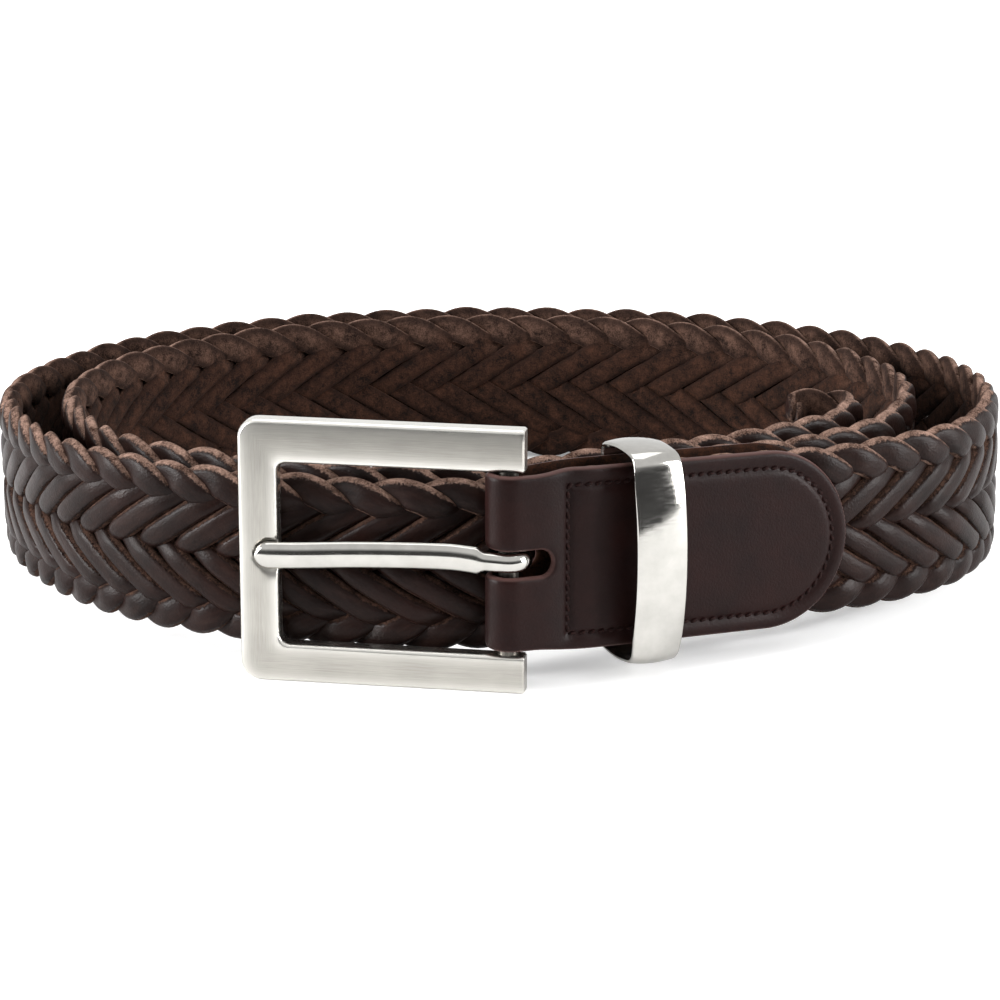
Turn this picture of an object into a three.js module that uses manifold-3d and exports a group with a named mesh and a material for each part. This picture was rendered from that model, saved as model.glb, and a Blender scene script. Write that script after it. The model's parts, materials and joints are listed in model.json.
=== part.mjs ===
// A braided leather belt with a pin buckle, lying coiled on its edge.
// Millimetres, +Z up. The buckle faces -Y, and the origin is under the middle of the belt.
import * as THREE from 'three';
import { mergeVertices } from 'three/addons/utils/BufferGeometryUtils.js';
import Module from 'manifold-3d';

const wasm = await Module();
wasm.setup();

// Braided strap
const strapWidth = 30;
const strapThickness = 3.9;
const edgeThickness = 2.3;
const scallopDepth = 1.2;
const weavePitch = 8.6;
const sectionsPerPitch = 3;
const lapGap = 0.5;

// Leather tab that holds the buckle
const plyThickness = 1.6;
const tabLength = 64;
const tabWidth = 31.8;
const foldWidth = 30.4;
const foldTaper = 11;
const braidStart = 13;
const pieceGap = 0.34;
const slotReach = 6.6;
const slotClearance = 0.6;

// Buckle frame and its hinge bar
const frameHeight = 45.8;
const frameLength = 48.8;
const frameThickness = 3.5;
const armWidth = 6.7;
const crossWidth = 6.8;
const frameBevel = 0.7;
const outerCorner = 3.4;
const innerCorner = 1.8;
const barRadius = 1.7;
const barFromArmEnd = 3;
const barFromFront = 2.3;
const seatDepth = 0.6;
const seatClearance = 0.5;

// Prong
const prongWidth = 4.8;
const prongThickness = 2;
const prongBevel = 0.65;
const prongTipBack = 3;
const prongDip = 0.9;
const ringWidth = 3.4;
const ringWall = 2;
const ringNeck = 5;

// Keeper loop
const keeperAlong = 9.6;
const keeperPlace = 19.6;
const keeperWall = 1.3;
const keeperRoom = 4.6;
const keeperBow = 2.6;
const keeperSideGap = 1;
const keeperCorner = 1.4;
const keeperBevel = 0.35;

// How the belt is laid: angles in degrees, azimuth 0 at the buckle, growing to its right. The
// hinge bar lies in front of the coil's centre by hingeShare of coilRadius.
const coilRadius = 91.3;
const hingeShare = 0.8631;
const hingeSide = 1.4;
const tabAngle = 26.5;
const buckleAngle = 10;
const buckleLift = 1.5;
const endAzimuth = 803;
const curlRadius = 5.6;
const curlAngle = 172;

// Outermost lap: its middle line's distance from the coil's centre, as a share of coilRadius
const lapRows = [
  { azimuth: 58, radius: 0.888 },
  { azimuth: 70, radius: 0.957 },
  { azimuth: 90, radius: 1 },
  { azimuth: 107, radius: 0.997 },
  { azimuth: 125, radius: 0.964 },
  { azimuth: 148, radius: 0.916 },
  { azimuth: 170, radius: 0.879 },
  { azimuth: 190, radius: 0.874 },
  { azimuth: 210, radius: 0.898 },
  { azimuth: 230, radius: 0.935 },
  { azimuth: 250, radius: 0.973 },
  { azimuth: 270, radius: 0.997 },
  { azimuth: 290, radius: 0.977 },
  { azimuth: 305, radius: 0.959 },
];

// Where the strap passes behind the buckle frame: along is a share of frameLength from the hinge,
// and room the free room as a share of strapThickness
const behindRows = [
  { along: 1.13, room: 0.43 },
  { along: 0.7, room: 0.195 },
  { along: 0.36, room: 0.12 },
];

// Free room between a lap and the one outside it, as a share of coilRadius. bulk is the share of
// the tab's and keeper's extra thickness that the lap gives way to.
const roomRows = [
  { azimuth: 360, bulk: 0.75, room: 0.017 },
  { azimuth: 367, bulk: 0.95, room: 0.005 },
  { azimuth: 378, bulk: 1, room: 0.004 },
  { azimuth: 394, bulk: 1, room: 0.004 },
  { azimuth: 408, bulk: 1, room: 0.012 },
  { azimuth: 425, bulk: 0.3, room: 0.078 },
  { azimuth: 440, bulk: 0, room: 0.122 },
  { azimuth: 460, bulk: 0, room: 0.106 },
  { azimuth: 490, bulk: 0, room: 0.051 },
  { azimuth: 525, bulk: 0, room: 0.014 },
  { azimuth: 550, bulk: 0, room: 0.009 },
  { azimuth: 575, bulk: 0, room: 0.014 },
  { azimuth: 610, bulk: 0, room: 0.046 },
  { azimuth: 635, bulk: 0, room: 0.077 },
  { azimuth: 660, bulk: 0, room: 0.079 },
  { azimuth: 678, bulk: 0, room: 0.068 },
  { azimuth: 695, bulk: 0, room: 0.02 },
  { azimuth: 708, bulk: 0, room: 0.007 },
  { azimuth: 720, bulk: 0, room: 0.004 },
  { azimuth: 740, bulk: 0, room: 0.004 },
  { azimuth: 760, bulk: 0, room: 0.03 },
  { azimuth: 780, bulk: 0, room: 0.05 },
  { azimuth: 810, bulk: 0, room: 0.05 },
];

// How far the strap's top leans outwards, in degrees
const leanRows = [
  { azimuth: 0, lean: 0 },
  { azimuth: 265, lean: 0 },
  { azimuth: 285, lean: 3 },
  { azimuth: 303, lean: 6 },
  { azimuth: 322, lean: 1.4 },
  { azimuth: 338, lean: 0 },
  { azimuth: 360, lean: 0 },
];

// Sizes that follow from the ones above
const windowHeight = frameHeight - 2 * armWidth;
const tabRoom = strapThickness + 2 * pieceGap;
const tabHalf = tabRoom / 2 + plyThickness;
const keeperBack = tabHalf + pieceGap;
const tabBulk = tabHalf + keeperWall + pieceGap - strapThickness / 2;
const ringOuter = barRadius + pieceGap + ringWall;
const prongFront = barFromFront - seatDepth + pieceGap + prongThickness;
const frontRise = (frameHeight - strapWidth) / 2 - buckleLift;
const leather = new THREE.MeshStandardMaterial({ color: 0x2e2120, roughness: 0.45 });
const tabLeather = new THREE.MeshStandardMaterial({ color: 0x352022, roughness: 0.5 });
const brushedNickel = new THREE.MeshStandardMaterial({ color: 0xcdcbc6, roughness: 0.35, metalness: 1 });
const polishedNickel = new THREE.MeshStandardMaterial({ color: 0xe6e6e1, roughness: 0.12, metalness: 1 });

const hingeDepth = hingeShare * coilRadius;
const radians = THREE.MathUtils.degToRad;
const hinge = new THREE.Vector2(hingeSide, -hingeDepth);
const tabDirection = new THREE.Vector2(Math.cos(radians(tabAngle)), Math.sin(radians(tabAngle)));
const tabEnd = hinge.clone().addScaledVector(tabDirection, tabLength);
const tabEndAzimuth = azimuthOf(tabEnd);

function azimuthOf(point) {
  return THREE.MathUtils.radToDeg(Math.atan2(point.x, -point.y));
}

// Smooth value between the rows of a table, through every row
function between(rows, column, azimuth) {
  const last = rows.length - 1;
  let i = rows.findIndex((row) => row.azimuth > azimuth) - 1;
  if (i < 0) {
    i = azimuth < rows[0].azimuth ? 0 : last - 1;
  }
  const slope = (k) => {
    const a = rows[Math.max(k - 1, 0)];
    const b = rows[Math.min(k + 1, last)];
    return (b[column] - a[column]) / (b.azimuth - a.azimuth);
  };
  const span = rows[i + 1].azimuth - rows[i].azimuth;
  const t = THREE.MathUtils.clamp((azimuth - rows[i].azimuth) / span, 0, 1);
  const rise = (t * t * t - 2 * t * t + t) * slope(i) + (t * t * t - t * t) * slope(i + 1);
  const blend = t * t * (3 - 2 * t);
  return rows[i][column] * (1 - blend) + rows[i + 1][column] * blend + rise * span;
}

// Where the straight line of the tab crosses an azimuth
function tabRadius(azimuth) {
  const distance = hinge.x * tabDirection.y - hinge.y * tabDirection.x;
  return distance / Math.cos(radians(azimuth - tabAngle));
}

function roomInside(azimuth) {
  const bulk = between(roomRows, 'bulk', azimuth) * tabBulk;
  return strapThickness + lapGap + bulk + between(roomRows, 'room', azimuth) * coilRadius;
}

// Middle of the strap behind the buckle frame
function behindRow({ along, room }) {
  const turn = radians(buckleAngle);
  const reach = along * frameLength;
  const behind = frameThickness - barFromFront + (0.5 + room) * strapThickness;
  const point = new THREE.Vector2(
    hinge.x - reach * Math.cos(turn) + behind * Math.sin(turn),
    hinge.y + reach * Math.sin(turn) + behind * Math.cos(turn),
  );
  return { azimuth: 360 + azimuthOf(point), radius: point.length() / coilRadius };
}

// The straight tab, then the rows, then one lap inside the first row of the second lap
function outerLapRows() {
  const shares = [0, 0.25, 0.5, 0.75, 0.9, 1];
  const start = shares.map((share) => {
    const azimuth = share * tabEndAzimuth;
    return { azimuth, radius: tabRadius(azimuth) / coilRadius };
  });
  const end = [360, 372].map((azimuth) => (
    { azimuth, radius: (tabRadius(azimuth - 360) - roomInside(azimuth)) / coilRadius }
  ));
  return [...start, ...lapRows, ...behindRows.map(behindRow), ...end];
}

const outerLap = outerLapRows();

function strapRadius(azimuth) {
  if (azimuth <= 360) {
    return between(outerLap, 'radius', azimuth) * coilRadius;
  }
  return strapRadius(azimuth - 360) - roomInside(azimuth);
}

// Plan points of the strap's middle line: along the tab, round the spiral, and round the free end's curl
function planLine() {
  const points = [hinge.clone().addScaledVector(tabDirection, braidStart), tabEnd];
  for (let azimuth = Math.ceil(tabEndAzimuth); azimuth <= endAzimuth; azimuth += 1) {
    const turn = radians(azimuth);
    const radius = strapRadius(azimuth);
    points.push(new THREE.Vector2(radius * Math.sin(turn), -radius * Math.cos(turn)));
  }
  const last = points[points.length - 1];
  const heading = last.clone().sub(points[points.length - 2]).normalize();
  const inward = new THREE.Vector2(-heading.y, heading.x);
  for (let turned = 10; turned <= curlAngle; turned += 9) {
    const turn = radians(turned);
    points.push(last.clone()
      .addScaledVector(heading, curlRadius * Math.sin(turn))
      .addScaledVector(inward, curlRadius * (1 - Math.cos(turn))));
  }
  return points;
}

const planPoints = planLine();
const backDepth = Math.max(...planPoints.map((point) => point.y));

// The strap lies on the floor at the back and rises to the buckle, which stands on its own edge
function strapHeight(point, along) {
  const nearness = (backDepth - point.y) / (backDepth + hingeDepth);
  const lift = buckleLift * Math.max(0, 1 - along / tabLength);
  return strapWidth / 2 + frontRise * nearness + lift;
}

// The tab's own slope is the strap's over the length of the tab
const tabSlope = (strapHeight(hinge, 0) - strapHeight(tabEnd, tabLength)) / tabLength;

// Places along the strap at even steps of its length
function strapStations() {
  const lengths = [braidStart];
  planPoints.forEach((point, i) => {
    if (i > 0) {
      lengths.push(lengths[i - 1] + point.distanceTo(planPoints[i - 1]));
    }
  });
  const whole = lengths[lengths.length - 1] - braidStart;
  const count = Math.round(whole / weavePitch) * sectionsPerPitch;
  const stations = [];
  let i = 0;
  for (let k = 0; k <= count; k += 1) {
    const along = braidStart + whole * k / count;
    while (i < lengths.length - 2 && lengths[i + 1] < along) {
      i += 1;
    }
    const t = (along - lengths[i]) / (lengths[i + 1] - lengths[i]);
    const point = planPoints[i].clone().lerp(planPoints[i + 1], t);
    stations.push({ point, along });
  }
  stations.forEach((station, k) => {
    const before = stations[Math.max(k - 1, 0)].point;
    const after = stations[Math.min(k + 1, count)].point;
    const heading = after.clone().sub(before).normalize();
    station.out = new THREE.Vector2(heading.y, -heading.x);
    const azimuth = (azimuthOf(station.point) + 360) % 360;
    station.lean = Math.tan(radians(between(leanRows, 'lean', azimuth)));
  });
  return stations;
}

// Closed body through equal rings of points
function loft(rings) {
  const n = rings[0].length;
  const vertices = rings.flat().flatMap((p) => [p.x, p.y, p.z]);
  const faces = [];
  for (let k = 0; k < rings.length - 1; k += 1) {
    for (let j = 0; j < n; j += 1) {
      const a = k * n + j;
      const b = k * n + (j + 1) % n;
      faces.push(a, b, b + n, a, b + n, a + n);
    }
  }
  const lastRing = (rings.length - 1) * n;
  for (let j = 1; j < n - 1; j += 1) {
    faces.push(0, j + 1, j);
    faces.push(lastRing, lastRing + j, lastRing + j + 1);
  }
  const geometry = new THREE.BufferGeometry();
  geometry.setAttribute('position', new THREE.Float32BufferAttribute(vertices, 3));
  geometry.setIndex(faces);
  return geometry;
}

// Band of the braid: thick in the middle, thin at its scalloped edges
function braidedStrap() {
  const section = [
    { out: edgeThickness / 2, up: 1, dip: 1 },
    { out: strapThickness / 2, up: 0.45, dip: 0 },
    { out: strapThickness / 2, up: -0.45, dip: 0 },
    { out: edgeThickness / 2, up: -1, dip: 1 },
  ];
  const ring = [...section, ...section.toReversed().map((row) => ({ ...row, out: -row.out }))];
  const rings = strapStations().map(({ point, along, out, lean }, k) => {
    const middle = strapHeight(point, along);
    const valley = k % sectionsPerPitch === 0 ? scallopDepth : 0;
    return ring.map((row) => {
      const up = row.up * (strapWidth / 2 - valley * row.dip);
      const offset = row.out + up * lean;
      return new THREE.Vector3(point.x + out.x * offset, point.y + out.y * offset, middle + up);
    });
  });
  return loft(rings);
}

// Solid of a closed mesh, for cuts and joins
function solid(geometry, matrix) {
  const bare = geometry.clone();
  bare.deleteAttribute('normal');
  bare.deleteAttribute('uv');
  const merged = mergeVertices(bare, 1e-4);
  if (matrix) {
    merged.applyMatrix4(matrix);
  }
  return new wasm.Manifold(new wasm.Mesh({
    numProp: 3,
    vertProperties: new Float32Array(merged.attributes.position.array),
    triVerts: new Uint32Array(merged.index.array),
  }));
}

function geometryOf(manifold) {
  const mesh = manifold.getMesh();
  const geometry = new THREE.BufferGeometry();
  geometry.setAttribute('position', new THREE.BufferAttribute(mesh.vertProperties, 3));
  geometry.setIndex(new THREE.BufferAttribute(mesh.triVerts, 1));
  return geometry;
}

// Plate cut to an outline in X and Z, reaching from y = front to y = back
function plateXZ(shape, front, back, bevel = 0) {
  const geometry = new THREE.ExtrudeGeometry(shape, {
    depth: back - front - 2 * bevel,
    bevelEnabled: bevel > 0,
    bevelThickness: bevel,
    bevelSize: bevel,
    bevelOffset: -bevel,
    bevelSegments: 2,
    curveSegments: 5,
  });
  geometry.rotateX(Math.PI / 2);
  geometry.translate(0, back - bevel, 0);
  return solid(geometry);
}

// Plate cut to an outline in X and Y, of one height about z = 0
function plateXY(shape, height, bevel = 0, curveSegments = 6) {
  const geometry = new THREE.ExtrudeGeometry(shape, {
    depth: height - 2 * bevel,
    bevelEnabled: bevel > 0,
    bevelThickness: bevel,
    bevelSize: bevel,
    bevelOffset: -bevel,
    bevelSegments: 1,
    curveSegments,
  });
  geometry.translate(0, 0, bevel - height / 2);
  return solid(geometry);
}

function cylinderZ(radius, height, sides) {
  const geometry = new THREE.CylinderGeometry(radius, radius, height, sides);
  geometry.rotateX(Math.PI / 2);
  return solid(geometry);
}

// Tab: two plies from a fold round the hinge bar, in a frame with the bar on Z and the strap along +X
function buckleTab() {
  const plan = new THREE.Shape();
  plan.moveTo(tabLength, -tabHalf);
  plan.lineTo(tabLength, -tabRoom / 2);
  plan.lineTo(0, -tabRoom / 2);
  plan.absarc(0, 0, tabRoom / 2, -Math.PI / 2, Math.PI / 2, true);
  plan.lineTo(tabLength, tabRoom / 2);
  plan.lineTo(tabLength, tabHalf);
  plan.lineTo(0, tabHalf);
  plan.absarc(0, 0, tabHalf, Math.PI / 2, -Math.PI / 2, false);
  const folded = plateXY(plan, tabWidth);

  const round = tabWidth / 2;
  const outline = new THREE.Shape();
  outline.moveTo(-tabHalf - 1, -foldWidth / 2);
  outline.lineTo(barFromArmEnd, -foldWidth / 2);
  outline.lineTo(foldTaper, -tabWidth / 2);
  outline.lineTo(tabLength - round, -tabWidth / 2);
  outline.absarc(tabLength - round, 0, round, -Math.PI / 2, Math.PI / 2, false);
  outline.lineTo(foldTaper, tabWidth / 2);
  outline.lineTo(barFromArmEnd, foldWidth / 2);
  outline.lineTo(-tabHalf - 1, foldWidth / 2);
  outline.closePath();

  const slotHalf = ringWidth / 2 + slotClearance;
  const slot = new THREE.Shape();
  slot.moveTo(-tabHalf - 1, -slotHalf);
  slot.lineTo(slotReach - slotHalf, -slotHalf);
  slot.absarc(slotReach - slotHalf, 0, slotHalf, -Math.PI / 2, Math.PI / 2, false);
  slot.lineTo(-tabHalf - 1, slotHalf);
  slot.closePath();

  const reach = tabHalf + 1;
  return folded
    .intersect(plateXZ(outline, -reach, reach))
    .subtract(plateXZ(slot, -reach, reach));
}

// Buckle frame, in a frame with the bar on Z and the frame along -X, its face towards -Y
function buckleFrame() {
  const right = barFromArmEnd;
  const left = right - frameLength;
  const top = frameHeight / 2;
  const inner = windowHeight / 2;
  const innerLeft = left + crossWidth;
  const outline = new THREE.Shape();
  outline.moveTo(right, -top);
  outline.lineTo(right, -inner);
  outline.lineTo(innerLeft + innerCorner, -inner);
  outline.absarc(innerLeft + innerCorner, -inner + innerCorner, innerCorner, -Math.PI / 2, Math.PI, true);
  outline.absarc(innerLeft + innerCorner, inner - innerCorner, innerCorner, Math.PI, Math.PI / 2, true);
  outline.lineTo(right, inner);
  outline.lineTo(right, top);
  outline.absarc(left + outerCorner, top - outerCorner, outerCorner, Math.PI / 2, Math.PI, false);
  outline.absarc(left + outerCorner, -top + outerCorner, outerCorner, Math.PI, Math.PI * 1.5, false);
  outline.closePath();
  const front = -barFromFront;
  const plate = plateXZ(outline, front, front + frameThickness, frameBevel);
  const bar = cylinderZ(barRadius, windowHeight + armWidth, 16);

  const seatHalf = prongWidth / 2 + seatClearance;
  const seat = new THREE.BoxGeometry(crossWidth, 2 * seatDepth, 2 * seatHalf);
  seat.translate(left + prongTipBack - seatClearance + crossWidth / 2, front, 0);
  return plate.add(bar).subtract(solid(seat));
}

// Prong: a bevelled finger that dips between its ring round the bar and its seat on the frame
function prong() {
  const tip = barFromArmEnd - frameLength + prongTipBack;
  const half = prongThickness / 2;
  const middle = -prongFront + half;
  const rows = [
    { x: tip, y: middle, half: half * 0.55 },
    { x: tip + 2, y: middle, half },
    { x: tip + crossWidth, y: middle, half },
    { x: tip * 0.62, y: middle + prongDip * 0.8, half },
    { x: tip * 0.42, y: middle + prongDip, half },
    { x: tip * 0.22, y: middle + prongDip * 0.6, half },
    { x: -ringNeck, y: middle, half },
  ];
  const profile = new THREE.Shape();
  profile.moveTo(rows[0].x, rows[0].y - rows[0].half);
  rows.slice(1).forEach((row) => profile.lineTo(row.x, row.y - row.half));
  profile.lineTo(0, -ringOuter);
  profile.lineTo(0, middle + half);
  rows.toReversed().forEach((row) => profile.lineTo(row.x, row.y + row.half));
  profile.closePath();
  const finger = plateXY(profile, prongWidth, prongBevel);

  const outline = new THREE.Shape();
  outline.moveTo(tip + prongWidth / 2, -prongWidth / 2);
  outline.lineTo(-ringNeck, -prongWidth / 2);
  outline.lineTo(-ringOuter + 0.6, -ringWidth / 2);
  outline.lineTo(ringOuter, -ringWidth / 2);
  outline.lineTo(ringOuter, ringWidth / 2);
  outline.lineTo(-ringOuter + 0.6, ringWidth / 2);
  outline.lineTo(-ringNeck, prongWidth / 2);
  outline.lineTo(tip + prongWidth / 2, prongWidth / 2);
  outline.absarc(tip + prongWidth / 2, 0, prongWidth / 2, Math.PI / 2, Math.PI * 1.5, false);
  const reach = ringOuter + 1;
  const hole = cylinderZ(barRadius + pieceGap, prongWidth + 1, 16);
  return finger
    .intersect(plateXZ(outline, -reach, reach))
    .add(cylinderZ(ringOuter, ringWidth, 20))
    .subtract(hole);
}

// Outline of the keeper's loop in X (away from the wearer) and Y (up), bowed in front
function keeperOutline(Kind, grow) {
  const top = tabWidth / 2 + keeperSideGap + grow;
  const back = -keeperBack - grow;
  const shoulder = tabHalf + keeperRoom - keeperBow + grow;
  const corner = keeperCorner + grow / 2;
  const outline = new Kind();
  outline.moveTo(back + corner, -top);
  outline.lineTo(shoulder - corner, -top);
  outline.quadraticCurveTo(shoulder, -top, shoulder + corner * 0.3, -top + corner);
  outline.quadraticCurveTo(shoulder + keeperBow * 2 - corner * 0.3, 0, shoulder + corner * 0.3, top - corner);
  outline.quadraticCurveTo(shoulder, top, shoulder - corner, top);
  outline.lineTo(back + corner, top);
  outline.quadraticCurveTo(back, top, back, top - corner);
  outline.lineTo(back, -top + corner);
  outline.quadraticCurveTo(back, -top, back + corner, -top);
  return outline;
}

// Keeper: a metal loop round the tab with room for the belt's free end in front
function keeper() {
  const loop = keeperOutline(THREE.Shape, keeperWall);
  loop.holes.push(keeperOutline(THREE.Path, 0));
  const geometry = new THREE.ExtrudeGeometry(loop, {
    depth: keeperAlong - 2 * keeperBevel,
    bevelThickness: keeperBevel,
    bevelSize: keeperBevel,
    bevelOffset: -keeperBevel,
    bevelSegments: 1,
    curveSegments: 7,
  });
  const across = new THREE.Vector3(0, -1, 0);
  const up = new THREE.Vector3(0, 0, 1);
  const along = new THREE.Vector3().crossVectors(across, up);
  geometry.applyMatrix4(new THREE.Matrix4().makeBasis(across, up, along));
  geometry.translate(keeperPlace + keeperAlong - keeperBevel, 0, 0);
  return geometry;
}

function piece(name, geometry, material) {
  const mesh = new THREE.Mesh(geometry, material);
  mesh.name = name;
  return mesh;
}

const belt = new THREE.Group();
belt.add(piece('braided_strap', braidedStrap(), leather));

// Both turned groups have the hinge bar as their Z axis
const hingePlace = new THREE.Vector3(hinge.x, hinge.y, frameHeight / 2);

// The tab and keeper drop along their length as the strap does
const slope = new THREE.Matrix4().makeShear(0, -tabSlope, 0, 0, 0, 0);
const tabGroup = new THREE.Group();
tabGroup.position.copy(hingePlace);
tabGroup.rotation.z = radians(tabAngle);
tabGroup.add(piece('buckle_tab', geometryOf(buckleTab()).applyMatrix4(slope), tabLeather));
tabGroup.add(piece('keeper', keeper().applyMatrix4(slope), polishedNickel));
belt.add(tabGroup);

const buckleGroup = new THREE.Group();
buckleGroup.position.copy(hingePlace);
buckleGroup.rotation.z = radians(-buckleAngle);
buckleGroup.add(piece('buckle_frame', geometryOf(buckleFrame()), brushedNickel));
buckleGroup.add(piece('prong', geometryOf(prong()), polishedNickel));
belt.add(buckleGroup);

// The origin goes under the middle of the belt's box
const box = new THREE.Box3().setFromObject(belt, true);
belt.position.set(-(box.min.x + box.max.x) / 2, -(box.min.y + box.max.y) / 2, -box.min.z);

export default belt;
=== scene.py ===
"""Looks of a braided leather belt coiled on its edge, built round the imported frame. Metres, +Z up."""
import json
import math
from collections import namedtuple

import bpy
import numpy as np
from mathutils import Matrix, Vector
from mathutils.geometry import delaunay_2d_cdt


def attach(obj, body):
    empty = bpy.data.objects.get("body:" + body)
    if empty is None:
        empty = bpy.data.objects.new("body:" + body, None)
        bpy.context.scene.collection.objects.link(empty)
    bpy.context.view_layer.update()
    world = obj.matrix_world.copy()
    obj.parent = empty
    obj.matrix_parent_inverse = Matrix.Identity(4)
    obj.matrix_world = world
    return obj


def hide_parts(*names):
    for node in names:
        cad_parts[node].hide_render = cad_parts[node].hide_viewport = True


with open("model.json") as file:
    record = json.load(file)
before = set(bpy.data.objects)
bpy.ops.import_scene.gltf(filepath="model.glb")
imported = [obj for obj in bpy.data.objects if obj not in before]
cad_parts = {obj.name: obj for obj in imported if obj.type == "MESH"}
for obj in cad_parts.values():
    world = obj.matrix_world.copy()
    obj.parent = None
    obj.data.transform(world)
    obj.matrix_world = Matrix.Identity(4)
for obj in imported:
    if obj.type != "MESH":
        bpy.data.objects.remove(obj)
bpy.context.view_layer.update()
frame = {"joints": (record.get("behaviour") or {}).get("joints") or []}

MM = 0.001

# Braided strap, as in the solids
STRAP_WIDTH = 30 * MM
STRAP_THICKNESS = 3.9 * MM
WEAVE_PITCH = 8.6 * MM
LAP_GAP = 0.5 * MM
BRAID_START = 13 * MM

# One strand of the braid
STRANDS = 11
PERIOD = STRANDS * WEAVE_PITCH
BRAID_PHASE = 0.08
STRAND_WIDTH = 4.2 * MM
STRAND_THICKNESS = 2.1 * MM
STRAND_STEP = 0.8 * MM
LAYER_RISE = 1 * MM
DOME_SHARE = 0.3
NARROWING = 0.05
END_ROUNDING = 0.3
EDGE_WIDENING = 0.24
EDGE_THICKENING = 0.12
EDGE_CROSSINGS = 2.6
BRAID_REACH = 12.95 * MM
TURN_LENGTH = 4.2 * MM
END_LENGTH = 4 * MM
CROSSING_GAP = 5 * MM

# How unevenly the strands lie: share of a strand's width, then depth and height in the strap
UNEVEN_WIDTH = 0.03
UNEVEN_DEPTH = 0.06 * MM
UNEVEN_HEIGHT = 0.1 * MM
LONG_WAVE = 23 * MM
SHORT_WAVE = 9.1 * MM

# Leather tab, as in the solids
PLY_THICKNESS = 1.6 * MM
PIECE_GAP = 0.34 * MM
TAB_LENGTH = 64 * MM
TAB_WIDTH = 31.8 * MM
FOLD_WIDTH = 30.4 * MM
FOLD_TAPER = 11 * MM
SLOT_REACH = 6.6 * MM
RING_WIDTH = 3.4 * MM
SLOT_CLEARANCE = 0.6 * MM

# Finish of the tab
EDGE_ROUND = 0.9 * MM
STITCH_INSET = 2.95 * MM
STITCH_START = 9.6 * MM
STITCH_PITCH = 1.8 * MM
STITCH_LENGTH = 1.5 * MM
STITCH_RADIUS = 0.3 * MM
STITCH_SLANT = 0.3
GROOVE_DEPTH = 0.5 * MM
GROOVE_WIDTH = 0.65 * MM
PINCH_DEPTH = 0.5 * MM
PINCH_PLACE = 9.6 * MM
PINCH_WIDTH = 2.6 * MM

# Points of the tab's mesh: lines beside its borders, then their spacing and that of the rest
BORDER_INSETS = [inset * MM for inset in (0, 0.08, 0.2, 0.35, 0.55, 0.9, 1.4, 2.2)]
SLOT_INSETS = BORDER_INSETS[:6]
BORDER_STEP = 0.8 * MM
SLOT_STEP = 0.6 * MM
FINE_STEP = 0.3 * MM
NEAR_STITCHES = 1 * MM
BORDER_FREE = 2.6 * MM
SLOT_FREE = 1.3 * MM

# Buckle frame, as in the solids
FRAME_HEIGHT = 45.8 * MM
FRAME_LENGTH = 48.8 * MM
FRAME_THICKNESS = 3.5 * MM
ARM_WIDTH = 6.7 * MM
CROSS_WIDTH = 6.8 * MM
OUTER_CORNER = 3.4 * MM
INNER_CORNER = 1.8 * MM
BAR_RADIUS = 1.7 * MM
BAR_FROM_ARM_END = 3 * MM
BAR_FROM_FRONT = 2.3 * MM
SEAT_DEPTH = 0.6 * MM

# Finer form of the frame and its bar
FRAME_ROUND = 0.8 * MM
FRAME_BACK_ROUND = 0.5 * MM
FRAME_CROWN = 0.12 * MM
FRAME_BOW = 0.25 * MM
UPPER_ARM_EXTRA = 0.7 * MM
ARM_END_ROUND = 0.3 * MM
SEAT_CLEARANCE = 0.35 * MM
BAR_SIDES = 32
BAR_IN_ARM = 0.3

# Prong, as in the solids
PRONG_WIDTH = 4.8 * MM
PRONG_THICKNESS = 2 * MM
PRONG_TIP_BACK = 3 * MM
PRONG_DIP = 0.9 * MM
RING_WALL = 2 * MM
RING_NECK = 5 * MM
RING_SHOULDER = 0.6 * MM
RING_TURN = math.radians(285)

# Keeper loop, as in the solids
KEEPER_ALONG = 9.6 * MM
KEEPER_PLACE = 19.6 * MM
KEEPER_WALL = 1.3 * MM
KEEPER_ROOM = 4.6 * MM
KEEPER_BOW = 2.6 * MM
KEEPER_SIDE_GAP = 1 * MM
KEEPER_CORNER = 1.4 * MM

# Finer form of the keeper
KEEPER_ROUND = 0.35 * MM
KEEPER_CROWN = 0.45 * MM
KEEPER_DROP = 0.5 * MM
KEEPER_ARCH = 0.8 * MM
KEEPER_TAPER = 0.5
KEEPER_TAPER_START = 0.55

# How the belt is laid, as in the solids
COIL_RADIUS = 91.3 * MM
HINGE_SHARE = 0.8631
HINGE_SIDE = 1.4 * MM
TAB_ANGLE = math.radians(26.5)
BUCKLE_ANGLE = math.radians(10)
BUCKLE_LIFT = 1.5 * MM
END_AZIMUTH = 803
CURL_RADIUS = 5.6 * MM
CURL_ANGLE = 172

# Camera, from the coil's centre
CAMERA_DISTANCE = 654.39 * MM
CAMERA_HEIGHT = 194.79 * MM
CAMERA_PITCH = math.radians(15.667)
CAMERA_LENS = 129.6

# Floor, whose near edge lies just out of the picture; its glow keeps the shadows faint
FLOOR_REACH = 6
FLOOR_FRONT = 0.25
FLOOR_GLOW = 0.3


def table(kind, *rows):
    """Rows with named columns."""
    return [kind(*row) for row in rows]


# Radius of the outer lap as a share of the coil's, at degrees round it from the front
LapRow = namedtuple("LapRow", "azimuth radius")
LAP_ROWS = table(
    LapRow,
    (58, 0.888), (70, 0.957), (90, 1), (107, 0.997), (125, 0.964), (148, 0.916), (170, 0.879),
    (190, 0.874), (210, 0.898), (230, 0.935), (250, 0.973), (270, 0.997), (290, 0.977),
    (305, 0.959),
)

# Where the strap passes behind the buckle frame
BehindRow = namedtuple("BehindRow", "along room")
BEHIND_ROWS = table(BehindRow, (1.13, 0.43), (0.7, 0.195), (0.36, 0.12))

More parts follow.
